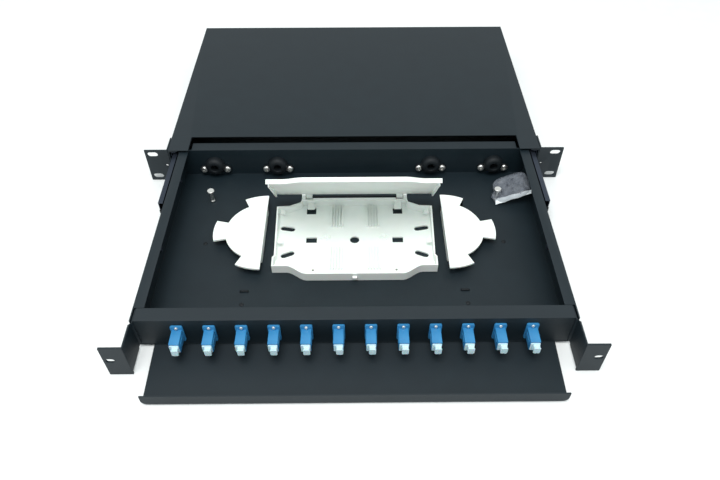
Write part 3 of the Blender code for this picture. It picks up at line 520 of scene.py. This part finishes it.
def cap_shapes():
    """Dust cap about the middle of the port's mouth: plug, collar and waisted grip."""
    grip = [(-1.2, 6.4, 8.0), (-2.0, 6.0, 7.6), (-3.4, 5.6, 7.2), (-4.4, 6.0, 7.6), (-5.0, 6.4, 8.0),
            (-5.5, 5.8, 7.4)]
    rings = [(8.0, 6.4, 8.0, 0.4, 0.0), (7.5, 7.2, 8.8, 0.5, 0.0), (-0.3, 7.2, 8.8, 0.5, 0.0),
             (-0.3, 8.6, 9.6, 0.8, 0.0), (-1.0, 8.6, 9.6, 0.8, 0.0), (-1.2, 8.2, 9.2, 0.7, 0.0)]
    rings += [(y, width, height, 1.1, 1.0) for y, width, height in grip]
    return [loft_y([tuple(value * MM for value in ring) for ring in rings])]


def make_adapters():
    """Every adapter and its dust cap, and the screws of the adapters' flanges."""
    body_mesh = joined("adapter_moulding", adapter_shapes())
    cap_mesh = joined("dust_cap_moulding", cap_shapes())
    screws = []
    names = sorted(name for name in frame["nodes"] if name.startswith("adapter_"))
    for name in names:
        low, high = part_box(name)
        middle = (low + high) / 2.0
        middle.y = high.y - ADAPTER_TAIL
        number = name[-2:]
        for mesh, nose, node, slot, word in (
                (body_mesh, 0.0, name, "adapter_blue", "body"),
                (cap_mesh, ADAPTER_NOSE, "dust_cap_" + number, "cap_white", "cap")):
            item = bpy.data.objects.new("%s_%s" % (node, word), mesh)
            item.location = middle + Vector((0.0, nose, 0.0))
            bpy.context.scene.collection.objects.link(item)
            dress(item, finishes[slot])
            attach(item, body_of_node(node))
            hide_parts(node)
        for side in (-1.0, 1.0):
            seat = middle + Vector((0.0, FLANGE_FRONT, side * ADAPTER_SCREW_Z))
            screws.append(screw(SMALL_HEAD, seat, (0, -1, 0), 17.0 * int(number)))
    piece("adapter_screws", screws, "bright_nickel", "drawer")


# --- glands and posts --------------------------------------------------------

def gland_shapes(center, front, back):
    """Domed gland: eared flange, dome, barrel with a lock nut behind the wall."""
    x, z = center
    tip = front - DOME_LENGTH
    profile = [(GLAND_BORE, tip + 0.5 * MM), (GLAND_BORE + 0.5 * MM, tip)]
    for i in range(9):
        angle = math.radians(90.0 * i / 8)
        profile.append((GLAND_NOSE + (GLAND_DOME - GLAND_NOSE) * math.sin(angle),
                        tip + 5.0 * MM * (1.0 - math.cos(angle))))
    profile += [(GLAND_DOME, front + GLAND_FLANGE), (GLAND_BARREL, front + GLAND_FLANGE),
                (GLAND_BARREL, back), (GLAND_BORE, back)]
    to_axis = Matrix.Translation((x, 0.0, z)) @ Matrix.Rotation(math.radians(-90.0), 4, "X")
    shapes = [moved(turned(profile, 48, True), to_axis)]
    ears = oblong((x, z - GLAND_EAR_DROP), 2.0 * (GLAND_EAR_X + GLAND_EAR_RADIUS), 2.0 * GLAND_EAR_RADIUS)
    for side in (-1.0, 1.0):
        half = [(px, pz) for px, pz in ears if side * (px - x) > GLAND_BARREL]
        if side > 0:
            half += [(x + 6.5 * MM, z - GLAND_EAR_DROP + GLAND_EAR_RADIUS),
                     (x + 6.5 * MM, z - GLAND_EAR_DROP - GLAND_EAR_RADIUS)]
        else:
            half += [(x - 6.5 * MM, z - GLAND_EAR_DROP - GLAND_EAR_RADIUS),
                     (x - 6.5 * MM, z - GLAND_EAR_DROP + GLAND_EAR_RADIUS)]
        shapes.append(prism(half, front, front + GLAND_FLANGE, "Y"))
    nut = front + GLAND_FLANGE + GAP + SHEET + GAP
    hexagon = [[(px, y, pz) for px, pz in circle((x, z), radius, 6)]
               for radius, y in ((10.6 * MM, nut), (10.6 * MM, nut + 4.0 * MM), (8.1 * MM, nut + 4.0 * MM),
                                 (8.1 * MM, nut))]
    shapes.append(lofted(hexagon, True))
    return shapes


def make_glands():
    """The glands in the drawer's rear wall, and two screws in each one's ears."""
    screws = []
    for name in sorted(name for name in frame["nodes"] if name.startswith("cable_gland_")):
        low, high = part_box(name)
        x = (low.x + high.x) / 2.0
        z = high.z - GLAND_DOME
        front = low.y + DOME_LENGTH
        piece(name + "_moulding", gland_shapes((x, z), front, high.y), "black_rubber", "drawer", (name,),
              0.25 * MM, sharp=50.0)
        for side in (-1.0, 1.0):
            seat = (x + side * GLAND_EAR_X, front, z - GLAND_EAR_DROP)
            screws.append(screw(PAN_HEAD, seat, (0, -1, 0), 25.0 + 900.0 * x))
    piece("gland_screws", screws, "bright_nickel", "drawer")


def make_posts():
    """Bright turned posts with a wider cap."""
    for _, word in SIDES:
        low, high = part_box("anchor_post_" + word)
        base = Vector(((low.x + high.x) / 2.0, (low.y + high.y) / 2.0, low.z))
        top = high.z - low.z
        profile = [(2.5, 0.0), (2.8, 0.3), (2.8, 2.1), (2.4, 2.5), (2.4, 13.2), (2.6, 13.5), (3.8, 13.6),
                   (4.0, 13.9)]
        profile = [(radius * MM, height * MM) for radius, height in profile]
        profile += [(4.0 * MM, top - 0.4 * MM), (3.6 * MM, top)]
        post = moved(turned(profile, 40), Matrix.Translation(base))
        piece("anchor_post_%s_turned" % word, [post], "bright_nickel", "drawer", ("anchor_post_" + word,))


# --- splice cassette ---------------------------------------------------------

def ring_of(outer, inner, rise, seat):
    """Low raised ring standing on a surface."""
    profile = [(outer, 0.0), (outer, rise), (inner, rise), (inner, 0.0)]
    return moved(turned(profile, 32, True), Matrix.Translation(seat))


def make_cassette():
    """The tray with its moulded rings, clips and latch, the lid and the hinge rod."""
    low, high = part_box("splice_cassette")
    floor = low.z + CASSETTE_FLOOR
    refined("splice_cassette", 0.4 * MM, 3)
    rings = []
    clips = []
    for side in (-1.0, 1.0):
        middle = Vector((side * 31.0 * MM, EAR_PLANE - 103.5 * MM, floor - 0.05 * MM))
        rings.append(ring_of(5.0 * MM, 4.2 * MM, 0.7 * MM, middle))
        rings.append(ring_of(2.6 * MM, 1.7 * MM, 0.7 * MM, middle))
        for depth in CLIP_DEPTHS:
            edge = side * (high.x - 4.6 * MM)
            clip = [(edge, high.z - 2.4 * MM), (edge, high.z - 3.8 * MM),
                    (edge - side * 5.0 * MM, high.z - 4.4 * MM), (edge - side * 5.0 * MM, high.z - 3.6 * MM)]
            clips.append(prism(clip, EAR_PLANE + depth - 3.0 * MM, EAR_PLANE + depth + 3.0 * MM, "Y"))
    piece("cassette_rings", rings, "white_plastic", "drawer", (), 0.15 * MM)
    piece("cassette_clips", clips, "white_plastic", "drawer", (), 0.2 * MM)
    rim = low.z + CASSETTE_RIM
    latch = [(low.y + 0.4 * MM, rim - 0.1 * MM), (low.y - 0.3 * MM, rim - 0.1 * MM),
             (low.y - 0.4 * MM, rim - 3.4 * MM), (low.y - 2.4 * MM, rim - 4.2 * MM),
             (low.y - 2.4 * MM, rim - 6.6 * MM), (low.y + 0.4 * MM, rim - 8.8 * MM)]
    piece("cassette_latch", [prism(latch, -2.3 * MM, 2.3 * MM, "X")], "white_plastic", "drawer", (), 0.3 * MM)
    refined("cassette_lid", 0.35 * MM, 3)
    pin_low, pin_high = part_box("cassette_hinge_pin")
    radius = (pin_high.z - pin_low.z) / 2.0
    length = pin_high.x - pin_low.x
    profile = [(0.7 * radius, 0.0), (radius, 0.3 * MM), (radius, length - 0.3 * MM), (0.7 * radius, length)]
    start = (pin_low.x, (pin_low.y + pin_high.y) / 2.0, (pin_low.z + pin_high.z) / 2.0)
    rod = moved(turned(profile, 24), standing(start, (1, 0, 0)))
    # The steel rod takes the black rubber finish: painted shade of the dark gap between the lid and the tray.
    piece("cassette_hinge_rod", [rod], "slide_steel", "drawer", ("cassette_hinge_pin",), look="black_rubber")


def make_guides():
    """Half-moon guides and the rivets that fill their fixing holes."""
    rivets = []
    for side, word in SIDES:
        refined("fiber_guide_" + word, 0.5 * MM, 3)
        low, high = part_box("fiber_guide_" + word)
        straight = low.x if side > 0 else high.x
        middle = (low.y + high.y) / 2.0
        for offset in (6.5 * MM, -23.5 * MM):
            seat = Vector((straight + side * 13.5 * MM, middle + offset, high.z - 1.8 * MM))
            profile = [(1.6, 0.0), (1.6, 1.5), (1.45, 1.65), (0.6, 1.72)]
            profile = [(radius * MM, height * MM) for radius, height in profile]
            rivets.append(moved(turned(profile, 24), Matrix.Translation(seat)))
    piece("guide_rivets", rivets, "white_plastic", "drawer")


def make_floor_details():
    """Rivets and lanced tie bridges in the drawer's floor."""
    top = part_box("drawer_tray")[0].z + SHEET
    shapes = []
    for side in (-1.0, 1.0):
        for x, y in ((111.5, -192.0), (160.0, -109.5)):
            profile = [(2.3, 0.0), (2.2, 0.35), (1.6, 0.75), (0.5, 0.9)]
            profile = [(radius * MM, height * MM) for radius, height in profile]
            seat = (side * x * MM, EAR_PLANE + y * MM, top - 0.02 * MM)
            shapes.append(moved(turned(profile, 24), Matrix.Translation(seat)))
        bridge = [(-4.8, 0.0), (-3.2, 1.4), (3.2, 1.4), (4.8, 0.0),
                  (3.9, 0.0), (2.8, 0.7), (-2.8, 0.7), (-3.9, 0.0)]
        middle = side * 110.7 * MM
        outline = [(middle + x * MM, top - 0.02 * MM + z * MM) for x, z in bridge]
        depth = EAR_PLANE - 175.5 * MM
        shapes.append(prism(outline, depth - 1.2 * MM, depth + 1.2 * MM, "Y"))
    piece("floor_rivets", shapes, "black_powder_coat", "drawer", look="black_rubber")


# --- accessory bag -----------------------------------------------------------

BAG_HALF = Vector((20.8 * MM, 19.4 * MM, 6.0 * MM))
BAG_TILT = -24.0
POST_ROOM = 5.9 * MM


def bag_point(turn, across, level):
    """A point of the puffed bag, in its own frame."""
    def bulge(value, power):
        return math.copysign(abs(value) ** power, value)

    return Vector((BAG_HALF.x * across * bulge(math.cos(turn), 0.5),
                   BAG_HALF.y * across * bulge(math.sin(turn), 0.5), BAG_HALF.z * bulge(level, 0.9)))


def make_bag():
    """Crumpled film bag pushed in round the post, its seal, and the spares inside."""
    low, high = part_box("accessory_bag")
    tilt = Matrix.Rotation(math.radians(BAG_TILT), 4, "Y")
    place = Matrix.Translation((low + high) / 2.0) @ tilt
    post_low, post_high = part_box("anchor_post_right")
    post = (post_low + post_high) / 2.0
    rows, columns = 30, 96
    loops = []
    for row in range(1, rows):
        rise = math.pi * (row / rows - 0.5)
        loop = []
        for column in range(columns):
            point = bag_point(2.0 * math.pi * column / columns, abs(math.cos(rise)) ** 0.6, math.sin(rise))
            crease = noise.noise(point * 130.0) + 0.6 * noise.noise(point * 340.0)
            fold = abs(noise.noise(Vector((point.x * 60.0, point.y * 200.0, 3.0))))
            point.z *= 0.97 - 0.24 * min(1.0, abs(crease)) - 0.30 * fold
            world = place @ (point * 0.985)
            gap = Vector((world.x - post.x, world.y - post.y))
            if gap.length < POST_ROOM:
                gap = gap.normalized() * POST_ROOM
                world.x = post.x + gap.x
                world.y = post.y + gap.y
            loop.append(world)
        loops.append(loop)
    piece("accessory_bag_film", [lofted(loops)], "bag_film", "drawer", ("accessory_bag",), sharp=70.0)

    strip = []
    steps = 26
    for i in range(steps):
        share = i / (steps - 1)
        x = low.x + 0.3 * MM + share * (high.x - low.x - 1.2 * MM)
        y = low.y + 3.4 * MM + 0.5 * MM * math.sin(5.0 * share)
        z = low.z + 1.8 * MM + 16.5 * MM * share ** 1.15 + 0.5 * MM * math.sin(17.0 * share)
        half = (2.6 - 0.9 * share) * MM
        lean = 0.75
        thick = 0.35 * MM
        strip.append([(x, y - half, z - lean * half), (x, y + half, z + lean * half),
                      (x, y + half - thick, z + lean * half + thick),
                      (x, y - half - thick, z - lean * half + thick)])
    piece("accessory_bag_seal", [lofted(strip)], "bag_film", "drawer", look="bag_seal", sharp=70.0)

    spares = []
    for x, y, turn in ((2.0, -6.0, 20.0), (9.0, 2.0, 75.0), (1.0, 9.0, -35.0), (11.0, -11.0, 130.0)):
        shank = [(1.2, -5.0), (1.6, -4.4), (1.6, 4.0), (3.0, 4.0), (3.0, 5.4), (2.4, 6.0)]
        shank = [(radius * MM, height * MM) for radius, height in shank]
        spot = place @ Matrix.Translation((x * MM, y * MM, -0.4 * MM))
        lie = Matrix.Rotation(math.radians(turn), 4, "Z") @ Matrix.Rotation(math.radians(90.0), 4, "X")
        spares.append(moved(turned(shank, 20), spot @ lie))
    piece("bag_spare_screws", spares, "slide_steel", "drawer")


# --- the whole ---------------------------------------------------------------

make_camera()
make_floor()
make_light()
make_sheet_metal()
make_screws()
make_adapters()
make_glands()
make_posts()
make_cassette()
make_guides()
make_floor_details()
make_bag()
